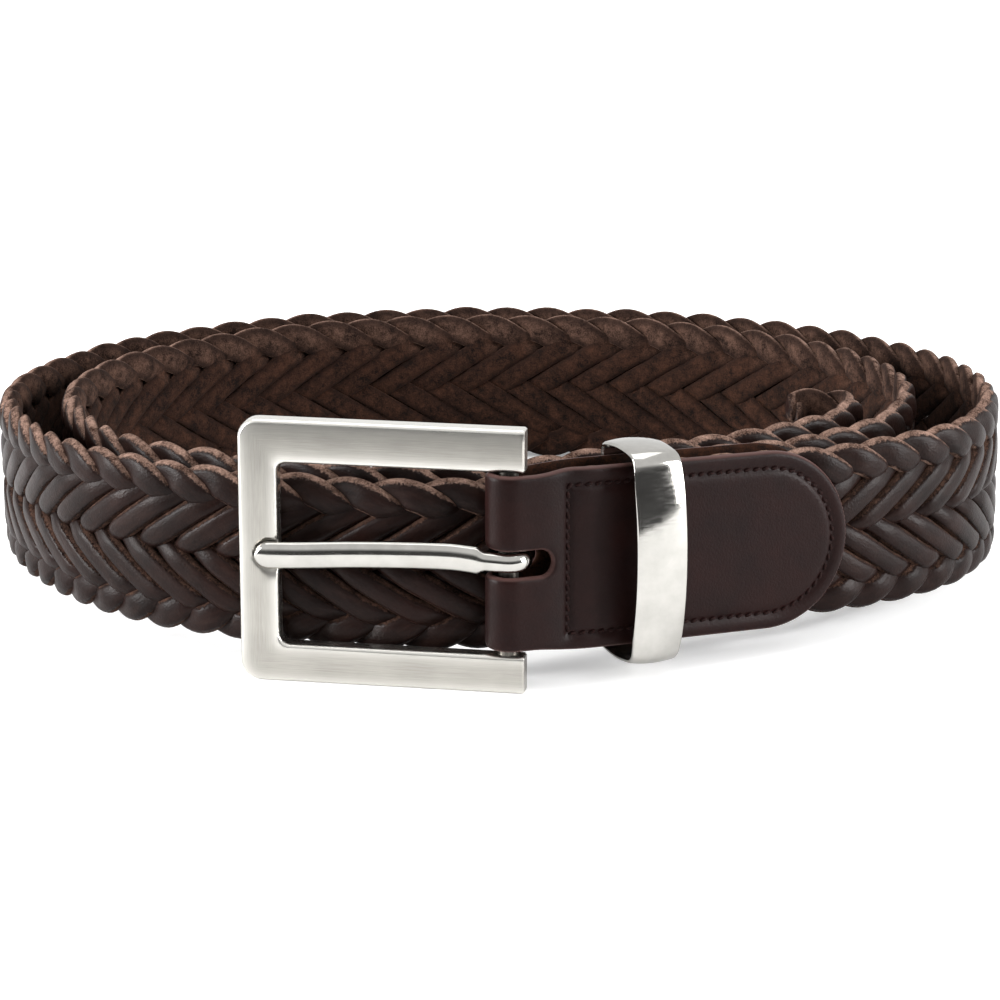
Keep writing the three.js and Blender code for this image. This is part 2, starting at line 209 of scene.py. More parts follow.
# Free room between a lap and the one outside it
RoomRow = namedtuple("RoomRow", "azimuth bulk room")
ROOM_ROWS = table(
    RoomRow,
    (360, 0.75, 0.017), (367, 0.95, 0.005), (378, 1, 0.004), (394, 1, 0.004), (408, 1, 0.012),
    (425, 0.3, 0.078), (440, 0, 0.122), (460, 0, 0.106), (490, 0, 0.051), (525, 0, 0.014),
    (550, 0, 0.009), (575, 0, 0.014), (610, 0, 0.046), (635, 0, 0.077), (660, 0, 0.079),
    (678, 0, 0.068), (695, 0, 0.02), (708, 0, 0.007), (720, 0, 0.004), (740, 0, 0.004),
    (760, 0, 0.03), (780, 0, 0.05), (810, 0, 0.05),
)

# How far the strap's top leans outwards, in degrees
LeanRow = namedtuple("LeanRow", "azimuth lean")
LEAN_ROWS = table(
    LeanRow,
    (0, 0), (265, 0), (285, 3), (303, 6), (322, 1.4), (338, 0), (360, 0),
)

# Length of strap, in millimetres, from one strand's turn at the edge to the next one's
PitchRow = namedtuple("PitchRow", "along pitch")
PITCH_ROWS = table(
    PitchRow,
    (13, 8.55), (60, 8.2), (110, 7.7), (160, 8.1), (250, 8.5), (340, 8.55), (430, 7.55),
    (475, 7.45), (510, 8.85), (560, 8.5), (640, 8.9), (760, 8.3), (920, 9.1), (1060, 8.4),
    (1093, 9.2),
)

# How far the strap's top and bottom edges stand above a plain band's, in millimetres
EdgeRow = namedtuple("EdgeRow", "along top bottom")
EDGE_ROWS = table(
    EdgeRow,
    (13, 0, 0), (50, 0, 0), (80, 0, -0.5), (110, 0.2, -0.2), (155, 0.65, 0), (340, 0.65, 0),
    (405, 0.6, 0), (440, 0.8, -0.2), (465, 0.4, -0.3), (482, -0.3, -0.5), (500, -1.1, -1.2),
    (522, -0.9, -1), (548, 0, 0), (900, 0, 0), (945, 0.3, 0), (975, 0.35, 0), (1000, 0.85, 0),
    (1093, 0, 0),
)

# Sizes that follow from the ones above
WINDOW_HEIGHT = FRAME_HEIGHT - 2 * ARM_WIDTH
TAB_ROOM = STRAP_THICKNESS + 2 * PIECE_GAP
TAB_HALF = TAB_ROOM / 2 + PLY_THICKNESS
TAB_BULK = TAB_HALF + KEEPER_WALL + PIECE_GAP - STRAP_THICKNESS / 2
PLY_MIDDLE = (TAB_ROOM + PLY_THICKNESS) / 2
FOLD_ARC = math.pi / 2 * PLY_MIDDLE
SLOT_HALF = RING_WIDTH / 2 + SLOT_CLEARANCE
RING_OUTER = BAR_RADIUS + PIECE_GAP + RING_WALL
HINGE_DEPTH = HINGE_SHARE * COIL_RADIUS
FRONT_RISE = (FRAME_HEIGHT - STRAP_WIDTH) / 2 - BUCKLE_LIFT
HINGE = np.array([HINGE_SIDE, -HINGE_DEPTH])
TAB_DIRECTION = np.array([math.cos(TAB_ANGLE), math.sin(TAB_ANGLE)])
TAB_END = HINGE + TAB_LENGTH * TAB_DIRECTION
TAB_END_AZIMUTH = math.degrees(math.atan2(TAB_END[0], -TAB_END[1]))

# The hinge bar's middle in the row frame, and the coil's centre from it
hinge_place = Vector(frame["joints"][0]["pos_m"])
coil_centre = hinge_place - Vector((HINGE[0], HINGE[1], FRAME_HEIGHT / 2))


# The strap's route, worked out as in the solids


def between(places, values, at):
    """Smooth values between the rows of a table, through every row."""
    places = np.asarray(places, float)
    values = np.asarray(values, float)
    slopes = np.empty(len(values))
    slopes[1:-1] = (values[2:] - values[:-2]) / (places[2:] - places[:-2])
    slopes[0] = (values[1] - values[0]) / (places[1] - places[0])
    slopes[-1] = (values[-1] - values[-2]) / (places[-1] - places[-2])
    i = np.clip(np.searchsorted(places, at, side="right") - 1, 0, len(places) - 2)
    span = places[i + 1] - places[i]
    t = np.clip((at - places[i]) / span, 0, 1)
    rise = (t**3 - 2 * t**2 + t) * slopes[i] + (t**3 - t**2) * slopes[i + 1]
    blend = t * t * (3 - 2 * t)
    return values[i] * (1 - blend) + values[i + 1] * blend + rise * span


def column(rows, name):
    return [getattr(row, name) for row in rows]


def tab_radius(azimuth):
    distance = HINGE[0] * TAB_DIRECTION[1] - HINGE[1] * TAB_DIRECTION[0]
    return distance / np.cos(np.radians(azimuth) - TAB_ANGLE)


def room_inside(azimuth):
    places = column(ROOM_ROWS, "azimuth")
    bulk = between(places, column(ROOM_ROWS, "bulk"), azimuth) * TAB_BULK
    room = between(places, column(ROOM_ROWS, "room"), azimuth) * COIL_RADIUS
    return STRAP_THICKNESS + LAP_GAP + bulk + room


def behind_row(row):
    """Middle of the strap behind the buckle frame."""
    reach = row.along * FRAME_LENGTH
    behind = FRAME_THICKNESS - BAR_FROM_FRONT + (0.5 + row.room) * STRAP_THICKNESS
    x = HINGE[0] - reach * math.cos(BUCKLE_ANGLE) + behind * math.sin(BUCKLE_ANGLE)
    y = HINGE[1] + reach * math.sin(BUCKLE_ANGLE) + behind * math.cos(BUCKLE_ANGLE)
    return LapRow(360 + math.degrees(math.atan2(x, -y)), math.hypot(x, y) / COIL_RADIUS)


def outer_lap_rows():
    shares = (0, 0.25, 0.5, 0.75, 0.9, 1)
    start = [LapRow(share * TAB_END_AZIMUTH, tab_radius(share * TAB_END_AZIMUTH) / COIL_RADIUS)
             for share in shares]
    end = [LapRow(azimuth, (tab_radius(azimuth - 360) - room_inside(azimuth)) / COIL_RADIUS)
           for azimuth in (360, 372)]
    return start + LAP_ROWS + [behind_row(row) for row in BEHIND_ROWS] + end


OUTER_LAP = outer_lap_rows()


def strap_radius(azimuth):
    if azimuth > 360:
        return strap_radius(azimuth - 360) - room_inside(azimuth)
    return between(column(OUTER_LAP, "azimuth"), column(OUTER_LAP, "radius"), azimuth) * COIL_RADIUS


def plan_line():
    """Plan points of the strap's middle: along the tab, round the spiral and round the end's curl."""
    points = [HINGE + BRAID_START * TAB_DIRECTION, TAB_END]
    for azimuth in range(math.ceil(TAB_END_AZIMUTH), END_AZIMUTH + 1):
        turn = math.radians(azimuth)
        points.append(strap_radius(azimuth) * np.array([math.sin(turn), -math.cos(turn)]))
    last = points[-1]
    heading = (last - points[-2]) / np.linalg.norm(last - points[-2])
    inward = np.array([-heading[1], heading[0]])
    for turned in range(10, CURL_ANGLE + 1, 9):
        turn = math.radians(turned)
        points.append(last + CURL_RADIUS * (math.sin(turn) * heading + (1 - math.cos(turn)) * inward))
    return np.array(points)


class Route:
    """The strap's middle line at even steps, in the row frame."""

    STEP = 0.5 * MM
    SMOOTH = 7

    def __init__(self):
        points = plan_line()
        steps = np.linalg.norm(np.diff(points, axis=0), axis=1)
        lengths = BRAID_START + np.concatenate([[0], np.cumsum(steps)])
        count = round((lengths[-1] - BRAID_START) / self.STEP)
        self.along = np.linspace(BRAID_START, lengths[-1], count + 1)
        line = np.stack([np.interp(self.along, lengths, points[:, i]) for i in (0, 1)], axis=1)
        for _ in range(2):
            line = self.smoothed(line)
        heading = np.gradient(line, axis=0)
        heading /= np.linalg.norm(heading, axis=1)[:, None]
        self.out = self.smoothed(np.stack([heading[:, 1], -heading[:, 0]], axis=1))
        nearness = (points[:, 1].max() - line[:, 1]) / (points[:, 1].max() + HINGE_DEPTH)
        lift = BUCKLE_LIFT * np.maximum(0, 1 - self.along / TAB_LENGTH)
        self.middle = STRAP_WIDTH / 2 + FRONT_RISE * nearness + lift
        azimuth = np.degrees(np.arctan2(line[:, 0], -line[:, 1])) % 360
        lean = between(column(LEAN_ROWS, "azimuth"), column(LEAN_ROWS, "lean"), azimuth)
        self.lean = np.tan(np.radians(lean))
        self.line = line + np.array(coil_centre[:2])
        self.middle += coil_centre.z
        edge_places = np.array(column(EDGE_ROWS, "along")) * MM
        self.top, self.bottom = (between(edge_places, column(EDGE_ROWS, edge), self.along) * MM
                                 for edge in ("top", "bottom"))
        pitch_places = np.array(column(PITCH_ROWS, "along")) * MM
        pitches = np.interp(self.along, pitch_places, column(PITCH_ROWS, "pitch")) * MM
        self.turns = BRAID_PHASE + np.cumsum(self.STEP / pitches)

    def smoothed(self, values):
        kernel = np.ones(self.SMOOTH) / self.SMOOTH
        half = self.SMOOTH // 2
        before = 2 * values[0] - values[half:0:-1]
        after = 2 * values[-1] - values[-2:-half - 2:-1]
        padded = np.concatenate([before, values, after])
        return np.stack([np.convolve(padded[:, i], kernel, mode="valid") for i in (0, 1)], axis=1)

    def place(self, along, up, depth):
        """Points at a length along the strap, a height from its middle and a depth towards its outside."""
        def at(values):
            return np.interp(along, self.along, values)
        offset = depth + at(self.lean) * up
        top, bottom = at(self.top), at(self.bottom)
        up = up + (top + bottom) / 2 + (top - bottom) * up / STRAP_WIDTH
        x = at(self.line[:, 0]) + at(self.out[:, 0]) * offset
        y = at(self.line[:, 1]) + at(self.out[:, 1]) * offset
        return np.stack([x, y, at(self.middle) + up], axis=-1)


# Making pieces from points


def new_piece(name, vertices, faces, material, body):
    mesh = bpy.data.meshes.new(name)
    mesh.from_pydata(np.asarray(vertices, float).reshape(-1, 3).tolist(), [], faces)
    mesh.polygons.foreach_set("use_smooth", [True] * len(mesh.polygons))
    mesh.materials.append(material)
    piece = bpy.data.objects.new(name, mesh)
    bpy.context.scene.collection.objects.link(piece)
    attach(piece, body)
    return piece


def point_values(piece, name, values):
    values = np.asarray(values, np.float32)
    kind, key = ("FLOAT_VECTOR", "vector") if values.shape[-1:] == (3,) else ("FLOAT", "value")
    attribute = piece.data.attributes.new(name, kind, "POINT")
    attribute.data.foreach_set(key, values.ravel())


def tube_faces(rings, around, closed=False):
    """Faces between rings of points, with end caps unless the last ring meets the first."""
    faces = []
    for k in range(rings if closed else rings - 1):
        a, b = k * around, (k + 1) % rings * around
        for j in range(around):
            i = (j + 1) % around
            faces.append((a + j, a + i, b + i, b + j))
    if not closed:
        faces.append(tuple(range(around))[::-1])
        faces.append(tuple(range((rings - 1) * around, rings * around)))
    return faces


def sharpen(piece, degrees):
    """Keeps edges above an angle crisp and lets flat faces rule the shading beside them."""
    piece.data.set_sharp_from_angle(angle=math.radians(degrees))
    modifier = piece.modifiers.new("flats", "WEIGHTED_NORMAL")
    modifier.keep_sharp = True


# The braid


# Round a strand: shares of half its width and thickness, then how far the grain and the flesh side reach
SectionPoint = namedtuple("SectionPoint", "across out grain flesh")
STRAND_SECTION = table(
    SectionPoint,
    (-0.33, -1.02, 0, 1), (-0.66, -0.93, 0, 1), (-0.92, -0.73, 0, 0.9), (-1.02, -0.45, 0, 0.2),
    (-1.02, -0.15, 0, 0), (-0.95, 0.2, 0.1, 0), (-0.87, 0.52, 0.6, 0), (-0.76, 0.79, 0.8, 0),
    (-0.58, 0.95, 1, 0), (-0.3, 1.02, 1, 0), (0, 1.04, 1, 0), (0.3, 1.02, 1, 0), (0.58, 0.95, 1, 0),
    (0.76, 0.79, 0.6, 0), (0.87, 0.52, 0.25, 0), (0.95, 0.2, 0.1, 0), (1.02, -0.15, 0, 0),
    (1.02, -0.45, 0, 0.2), (0.92, -0.73, 0, 0.9), (0.66, -0.93, 0, 1), (0.33, -1.02, 0, 1),
)

# Where a strand goes to the strap's outside (1) or inside (-1), in crossings along its zigzag
SideChange = namedtuple("SideChange", "place side width")
SIDE_CHANGES = table(
    SideChange,
    (0, 1, 1.7), (1.7, -1, 1.5), (5.5, 1, 0.75), (9.05, -1, 1.5), (11, 1, 1.7), (12.9, -1, 0.75),
    (16.5, 1, 1.5), (20.3, -1, 0.75), (22, 1, 1.7),
)


def smooth_step(value, width):
    t = np.clip(value / width + 0.5, 0, 1)
    return t * t * (3 - 2 * t)


def climb(phase):
    """Height of a strand's middle along its zigzag between the strap's edges, and its slope."""
    quarter = PERIOD / 4
    steepness = BRAID_REACH / (quarter - TURN_LENGTH / 2)
    share = phase % 1
    run = PERIOD * np.minimum(share, 1 - share)
    way = np.where(share < 0.5, 1, -1)
    low = np.maximum(TURN_LENGTH - run, 0)
    high = np.maximum(TURN_LENGTH - (2 * quarter - run), 0)
    height = steepness * (run - quarter + (low**2 - high**2) / (2 * TURN_LENGTH))
    slope = steepness * way * (1 - (low + high) / TURN_LENGTH)
    return height, slope, slope / steepness


def layer(crossings, sides, spread=1.0):
    """1 where a strand lies on the strap's outside, -1 where it lies inside; its sides dive first."""
    place = crossings % (2 * STRANDS)
    outside = 0
    for change in SIDE_CHANGES:
        start = change.place + change.side * END_ROUNDING * sides**2
        outside = outside + change.side * smooth_step(place - start, spread * change.width)
    return 2 * outside - 1


def waves(along, number, salt):
    """Gentle change along a strand that differs from strand to strand, from -1 to 1."""
    start = 1.7 * number + 2.9 * salt
    return (np.sin(along / LONG_WAVE + start) + np.sin(along / SHORT_WAVE + 2.3 * start)) / 2


def strand(route, number, material):
    """One strand along the whole braid, with its grain, flesh, rim and place as point values."""
    count = round((route.along[-1] - BRAID_START) / STRAND_STEP)
    along = np.linspace(BRAID_START, route.along[-1], count + 1)[:, None]
    phase = (np.interp(along, route.along, route.turns) + number) / STRANDS
    height, slope, lean = climb(phase)
    angle = np.arctan(slope)
    slant = smooth_step(np.minimum(along - along[0], along[-1] - along) / END_LENGTH - 0.5, 1)
    across = np.array(column(STRAND_SECTION, "across")) * STRAND_WIDTH / 2
    out = np.array(column(STRAND_SECTION, "out")) * STRAND_THICKNESS / 2
    at_edge = np.clip(1 - abs((2 * phase + 0.5) % 1 - 0.5) * STRANDS / EDGE_CROSSINGS, 0, 1)
    widening = EDGE_WIDENING * at_edge * (2 - at_edge)
    out = out * (1 + EDGE_THICKENING * at_edge * (2 - at_edge))
    narrowing = NARROWING * (1 - layer(2 * STRANDS * phase, 0, 1.5) ** 2) * (1 - at_edge)
    across = across * (1 + widening - narrowing + UNEVEN_WIDTH * waves(along, number, 1))
    skew = lean * across / math.tan(2 * math.atan(abs(slope).max())) / CROSSING_GAP
    crossings = 2 * STRANDS * phase + skew
    sides = np.array(column(STRAND_SECTION, "across")) * (1 - at_edge)
    depth = (1 - DOME_SHARE) * layer(crossings, sides) + DOME_SHARE * layer(crossings, sides, 2.6)
    rise = LAYER_RISE * depth + out + UNEVEN_DEPTH * waves(along, number, 2)
    upright = slant * np.cos(angle) + (1 - slant) / np.cos(angle)
    up = height - np.sign(height) * widening * STRAND_WIDTH / 2 + across * upright
    up = up + UNEVEN_HEIGHT * waves(along, number, 3)
    place = route.place(along - across * np.sin(angle) * slant, up, rise)
    faces = tube_faces(count + 1, len(STRAND_SECTION))
    piece = new_piece(f"strand_{number + 1:02d}", place, faces, material, "strap")
    ones = np.ones_like(across)
    point_values(piece, "grain", ones * column(STRAND_SECTION, "grain"))
    point_values(piece, "flesh", ones * column(STRAND_SECTION, "flesh"))
    point_values(piece, "rim", ones * at_edge * (height > 0))
    length = along / math.cos(abs(angle).max()) * ones
    point_values(piece, "strand_at", np.stack([length, across, 0.1 * number * ones], axis=-1))
    return piece


# The leather tab, unrolled: v runs along it from the middle of the fold, z across it


def tab_half_height(v):
    """Half of the unrolled tab's height, a bit less round the fold."""
    taper = (np.abs(v) - FOLD_ARC - BAR_FROM_ARM_END) / (FOLD_TAPER - BAR_FROM_ARM_END)
    share = np.clip(taper, 0, 1)
    return (FOLD_WIDTH + (TAB_WIDTH - FOLD_WIDTH) * share * share * (3 - 2 * share)) / 2


TAB_STRAIGHT = TAB_LENGTH + FOLD_ARC - TAB_WIDTH / 2
SLOT_STRAIGHT = SLOT_REACH + FOLD_ARC - SLOT_HALF


def edge_distance(v, z):
    """How far inside the unrolled tab's outline a point is."""
    past = np.abs(v) - TAB_STRAIGHT
    return np.where(past < 0, tab_half_height(v) - np.abs(z), TAB_WIDTH / 2 - np.hypot(past, z))


def slot_distance(v, z):
    """How far outside the slot's outline a point is."""
    return np.hypot(np.maximum(np.abs(v) - SLOT_STRAIGHT, 0), z) - SLOT_HALF


def oval(straight, radius, step, half_height=None):
    """Points round an outline with straight sides and round ends."""
    sides = np.linspace(-straight, straight, max(2, round(2 * straight / step)) + 1)
    high = radius if half_height is None else half_height(sides) + radius - TAB_WIDTH / 2
    turn = np.linspace(-math.pi / 2, math.pi / 2, max(8, round(math.pi * radius / step)) + 1)[1:-1]
    low_side = np.stack([sides, -high * np.ones_like(sides)], axis=1)
    round_end = np.stack([straight + radius * np.cos(turn), radius * np.sin(turn)], axis=1)
    return np.concatenate([low_side, round_end, -low_side, -round_end])


def stitch_distance(v, z):
    """Distance from the nearest line of stitches on the unrolled tab."""
    past_start = np.abs(v) - FOLD_ARC - STITCH_START
    border = np.hypot(edge_distance(v, z) - STITCH_INSET, np.minimum(past_start, 0))
    beside = np.maximum(np.abs(z) - (TAB_WIDTH / 2 - STITCH_INSET), 0)
    return np.minimum(border, np.hypot(past_start, beside))


def tab_places(v, z, out):
    """Points of the unrolled tab, folded round the hinge bar, in the tab's frame."""
    arc = np.clip(v / PLY_MIDDLE, -math.pi / 2, math.pi / 2)
    straight = np.maximum(np.abs(v) - FOLD_ARC, 0)
    pinch = PINCH_DEPTH * np.exp(-(((straight - PINCH_PLACE) / PINCH_WIDTH) ** 2)) * (straight > 0)
    radius = PLY_MIDDLE + out - pinch
    return np.stack([straight - radius * np.cos(arc), -radius * np.sin(arc), z * np.ones_like(v)], axis=-1)


def tab_slope():
    """How much the strap, and the tab with it, drops in a length of the tab."""
    depth = max(point[1] for point in plan_line()) + HINGE_DEPTH
    fall = FRONT_RISE * (TAB_END[1] - HINGE[1]) / depth + BUCKLE_LIFT
    return fall / TAB_LENGTH


def tab_frame():
    """Place of the tab: its own X along it from the hinge bar, sheared down with the strap."""
    shear = Matrix.Identity(4)
    shear[2][0] = -tab_slope()
    return Matrix.Translation(hinge_place) @ Matrix.Rotation(TAB_ANGLE, 4, "Z") @ shear


def moved(matrix, points):
    points = np.asarray(points, float).reshape(-1, 3)
    matrix = np.array(matrix)
    return points @ matrix[:3, :3].T + matrix[:3, 3]


def rounded_edge(inset):
    """How much lower the leather's surface is at a distance from its edge."""
    left = np.clip(EDGE_ROUND - inset, 0, EDGE_ROUND)
    return EDGE_ROUND - np.sqrt(EDGE_ROUND**2 - left**2)


def tab_points():
    """Points of the unrolled tab: both borders with their insets first, then the stitches and the rest."""
    half_length, half_height = TAB_STRAIGHT + TAB_WIDTH / 2, TAB_WIDTH / 2
    outer = [oval(TAB_STRAIGHT, half_height - inset, BORDER_STEP, tab_half_height)
             for inset in BORDER_INSETS]
    inner = [oval(SLOT_STRAIGHT, SLOT_HALF + inset, SLOT_STEP) for inset in SLOT_INSETS]
    v, z = np.meshgrid(np.arange(-half_length, half_length, FINE_STEP),
                       np.arange(-half_height, half_height, FINE_STEP))
    i, j = np.indices(v.shape)
    near = stitch_distance(v, z) < NEAR_STITCHES
    bent = np.abs(v) < FOLD_ARC + 1 * MM
    coarse = (i % 3 == 0) & (j % 3 == 0) | bent & (i % 3 == 0) & (j % 2 == 0)
    free = (edge_distance(v, z) > BORDER_FREE) & (slot_distance(v, z) > SLOT_FREE)
    keep = free & (near | coarse)
    rest = np.stack([v[keep], z[keep]], axis=1)
    return outer, inner, rest


def tab_leather_piece(material):
    outer, inner, rest = tab_points()
    points = np.concatenate([*outer, *inner, rest])
    first_inner = sum(len(loop) for loop in outer)
    loops = [range(len(outer[0])), range(first_inner, first_inner + len(inner[0]))]
    edges = [(loop[k], loop[(k + 1) % len(loop)]) for loop in loops for k in range(len(loop))]
    found = delaunay_2d_cdt([Vector(point / MM) for point in points], edges, [], 0, 1e-5)
    flat = np.array([point[:] for point in found[0]]) * MM
    faces = np.array([face for face in found[2]])
    v, z = flat[faces].mean(axis=1).T
    faces = faces[(edge_distance(v, z) > 0) & (slot_distance(v, z) > 0)]
    v, z = flat.T
    inset = np.minimum(np.maximum(edge_distance(v, z), 0), np.maximum(slot_distance(v, z), 0))
    groove = GROOVE_DEPTH * np.exp(-((stitch_distance(v, z) / GROOVE_WIDTH) ** 2))
    half = PLY_THICKNESS / 2
    top = half - rounded_edge(inset) - groove
    bottom = -half + 0.5 * rounded_edge(inset)
    places = np.concatenate([tab_places(v, z, top), tab_places(v, z, bottom)])
    count = len(flat)
    sides = []
    borders = {tuple(sorted(edge)) for edge in edges}
    for face in faces.tolist():
        for k in range(3):
            a, b = face[k], face[(k + 1) % 3]
            if tuple(sorted((a, b))) in borders:
                sides.append((b, a, a + count, b + count))
    grain_side = [tuple(face) for face in faces.tolist()]
    flesh_side = [tuple(index + count for index in face[::-1]) for face in grain_side]
    piece = new_piece("tab_leather", moved(tab_frame(), places), grain_side + flesh_side + sides, material,
                      "strap")
    point_values(piece, "inset", np.concatenate([inset, inset]))
    point_values(piece, "flesh", np.concatenate([np.zeros(count), np.ones(count)]))
    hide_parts("buckle_tab")
    return piece


def stitch_path():
    """Line of the stitches on the front ply: up beside the fold, along the top, round the end and back."""
    radius = TAB_WIDTH / 2 - STITCH_INSET
    start = FOLD_ARC + STITCH_START
    turn = np.linspace(math.pi / 2, -math.pi / 2, 40)
    end = np.stack([TAB_STRAIGHT + radius * np.cos(turn), radius * np.sin(turn)], axis=1)
    return np.concatenate([[[start, -radius], [start, radius]], end, [[start, -radius]]])


def stitches(material):
    path = stitch_path()
    lengths = np.concatenate([[0], np.cumsum(np.linalg.norm(np.diff(path, axis=0), axis=1))])
    count = round(lengths[-1] / STITCH_PITCH)
    middles = (np.arange(count) + 0.5) * lengths[-1] / count
    shares = np.linspace(-1, 1, 7)
    turns = np.arange(6) * math.pi / 3
    places, faces = [], []
    for side in (1, -1):
        for middle in middles:
            ends = [np.array([np.interp(place, lengths, path[:, i]) for i in (0, 1)])
                    for place in (middle - STITCH_PITCH / 4, middle + STITCH_PITCH / 4)]
            heading = (ends[1] - ends[0]) / np.linalg.norm(ends[1] - ends[0])
            heading = heading + STITCH_SLANT * np.array([-heading[1], heading[0]])
            across = np.array([-heading[1], heading[0]])
            at = (ends[0] + ends[1]) / 2 + shares[:, None] * STITCH_LENGTH / 2 * heading
            girth = STITCH_RADIUS * np.sqrt(np.maximum(1 - shares**4, 0.02))
            rise = PLY_THICKNESS / 2 - GROOVE_DEPTH + STITCH_RADIUS * (0.5 - 0.9 * shares**2)
            spots = at[:, None, :] + (girth[:, None] * np.cos(turns))[:, :, None] * across
            out = rise[:, None] + girth[:, None] * np.sin(turns)
            base = len(places) * len(shares) * len(turns)
            places.append(tab_places(side * spots[..., 0], spots[..., 1], out).reshape(-1, 3))
            tube = tube_faces(len(shares), len(turns))
            faces += [tuple(base + i for i in (face if side > 0 else face[::-1])) for face in tube]
    return new_piece("tab_stitching", moved(tab_frame(), np.concatenate(places)), faces, material,
                     "strap")


# The buckle's frame, bar and prong


def buckle_frame_matrix():
    return Matrix.Translation(hinge_place) @ Matrix.Rotation(-BUCKLE_ANGLE, 4, "Z")


def arc(x, z, radius, start, end, count=9):
    turn = np.radians(np.linspace(start, end, count))
    return np.stack([x + radius * np.cos(turn), z + radius * np.sin(turn)], axis=1)


def edge_line(left, top, corner, upright, arm):
    """Outer or inner edge of the frame in X and Z: lower arm, cross and upper arm, with round corners."""
    right = BAR_FROM_ARM_END
    arm_x = right + (left + corner - right) * arm
    low = np.stack([arm_x, np.full(len(arm), -top)], axis=1)
    cross = np.stack([np.full(len(upright), left), upright], axis=1)
    return np.concatenate([
        low, arc(left + corner, -top + corner, corner, 270, 180)[1:-1],
        cross, arc(left + corner, top - corner, corner, 180, 90)[1:-1], (low * (1, -1))[::-1],
    ])


def frame_edges():
    left = BAR_FROM_ARM_END - FRAME_LENGTH
    top, inner = FRAME_HEIGHT / 2, WINDOW_HEIGHT / 2
    seat = PRONG_WIDTH / 2 + SEAT_CLEARANCE
    half = np.concatenate([np.linspace(0, seat + 0.2 * MM, 9),
                           np.linspace(seat + 0.9 * MM, inner - INNER_CORNER, 8)])
    upright = np.concatenate([-half[::-1], half[1:]])
    end = 0.35 * MM / FRAME_LENGTH
    arm = np.concatenate([[0, end], np.linspace(3 * end, 1, 12)])
    stretch = (top - OUTER_CORNER) / (inner - INNER_CORNER)
    outer_upright = np.where(abs(upright) > seat + 0.5 * MM, upright * stretch, upright)
    window = edge_line(left + CROSS_WIDTH, inner, INNER_CORNER, upright, arm)
    window[:, 1] -= UPPER_ARM_EXTRA * np.maximum(window[:, 1] / inner, 0) ** 8
    return edge_line(left, top, OUTER_CORNER, outer_upright, arm), window


def frame_section():
    """Round the frame's bar: edge (0 inner, 1 outer), distance from it and depth behind the front."""
    turns = np.radians(np.linspace(0, 90, 6))
    front = [(FRAME_ROUND * (1 - math.cos(t)), FRAME_ROUND * (1 - math.sin(t))) for t in turns]
    back = [(FRAME_BACK_ROUND * (1 - math.cos(t)), FRAME_THICKNESS - FRAME_BACK_ROUND * (1 - math.sin(t)))
            for t in turns[::2]]
    across = [(0.5 + k / 14) for k in range(-4, 0)]
    inner = [(0, *spot) for spot in back[::-1] + front]
    outer = [(1, *spot) for spot in front[::-1] + back]
    middle = [(share, 0, 0) for share in (*across, 0.5, *[1 - share for share in across[::-1]])]
    return inner + middle + outer


def seat_depth(x, z):
    """Hollow for the prong's tip in the front of the frame's cross."""
    radius = PRONG_WIDTH / 2 + SEAT_CLEARANCE
    middle = BAR_FROM_ARM_END - FRAME_LENGTH + PRONG_TIP_BACK - SEAT_CLEARANCE + radius
    outside = np.hypot(np.minimum(x - middle, 0), z - PRONG_ROWS[-1].rise * MM) - radius
    inside_window = x < BAR_FROM_ARM_END - FRAME_LENGTH + CROSS_WIDTH + 1 * MM
    return SEAT_DEPTH * smooth_step(-outside - 0.1 * MM, 0.4 * MM) * inside_window


def buckle_plate(material):
    outer, inner = frame_edges()
    rings, polish_and_painted_highlight = [], []
    for k in range(len(outer)):
        width = np.linalg.norm(outer[k] - inner[k])
        at_end = ARM_END_ROUND if k in (0, len(outer) - 1) else 0
        ring = []
        for edge, distance, depth in frame_section():
            share = edge + (1 - 2 * edge) * (distance + at_end) / width if edge in (0, 1) else edge
            x, z = inner[k] + (outer[k] - inner[k]) * share
            front = depth < FRAME_THICKNESS / 2
            crown = FRAME_CROWN * (2 * share - 1) ** 2 + seat_depth(x, z) if front else 0
            bow = FRAME_BOW * (2 * z / FRAME_HEIGHT) ** 2
            y = bow + np.clip(depth + crown, at_end, FRAME_THICKNESS - at_end)
            ring.append((x, y - BAR_FROM_FRONT, z))
            # Share towards the bar's edges: there the colour gets a painted highlight and the roughness
            # the edges' polish
            polish_and_painted_highlight.append(abs(2 * share - 1) ** 3)
        rings.append(ring)
    spots = np.array(rings).reshape(-1, 3)
    faces = tube_faces(len(rings), len(rings[0]))
    piece = new_piece("buckle_plate", moved(buckle_frame_matrix(), spots), faces, material,
                      "frame")
    point_values(piece, "plate_at", spots)
    point_values(piece, "polish_and_painted_highlight", np.array(polish_and_painted_highlight))
    sharpen(piece, 40)
    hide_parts("buckle_frame")
    return piece


def hinge_bar(material):
    turn = np.arange(BAR_SIDES) * math.tau / BAR_SIDES
    ring = np.stack([np.cos(turn), np.sin(turn)], axis=1) * BAR_RADIUS
    reach = WINDOW_HEIGHT / 2 + BAR_IN_ARM * ARM_WIDTH
    rings = [np.column_stack([ring, np.full(BAR_SIDES, z)]) for z in (-reach, reach)]
    places = moved(buckle_frame_matrix(), np.concatenate(rings))
    piece = new_piece("hinge_bar", places, tube_faces(2, BAR_SIDES), material, "frame")
    sharpen(piece, 40)
    return piece


# Front of the prong from the bar to its tip: the dip's share and the rise in millimetres
ProngRow = namedtuple("ProngRow", "along dip rise")
PRONG_ROWS = table(
    ProngRow,
    (0, 0, 0.3), (0.1, 0, 0.5), (0.22, 0.6, 0.75), (0.42, 1, 0.5), (0.62, 0.8, 0.2),
    (0.85, 0.05, -0.2), (1, 0, -0.4),
)

# The prong's half-round section: shares of half its width and half its thickness, front at -1
PRONG_SECTION = [
    (0, -1), (0.28, -0.95), (0.53, -0.8), (0.74, -0.56), (0.9, -0.24), (0.98, 0.14), (0.97, 0.55),
    (0.84, 0.86), (0.55, 1), (0, 1.02),
]


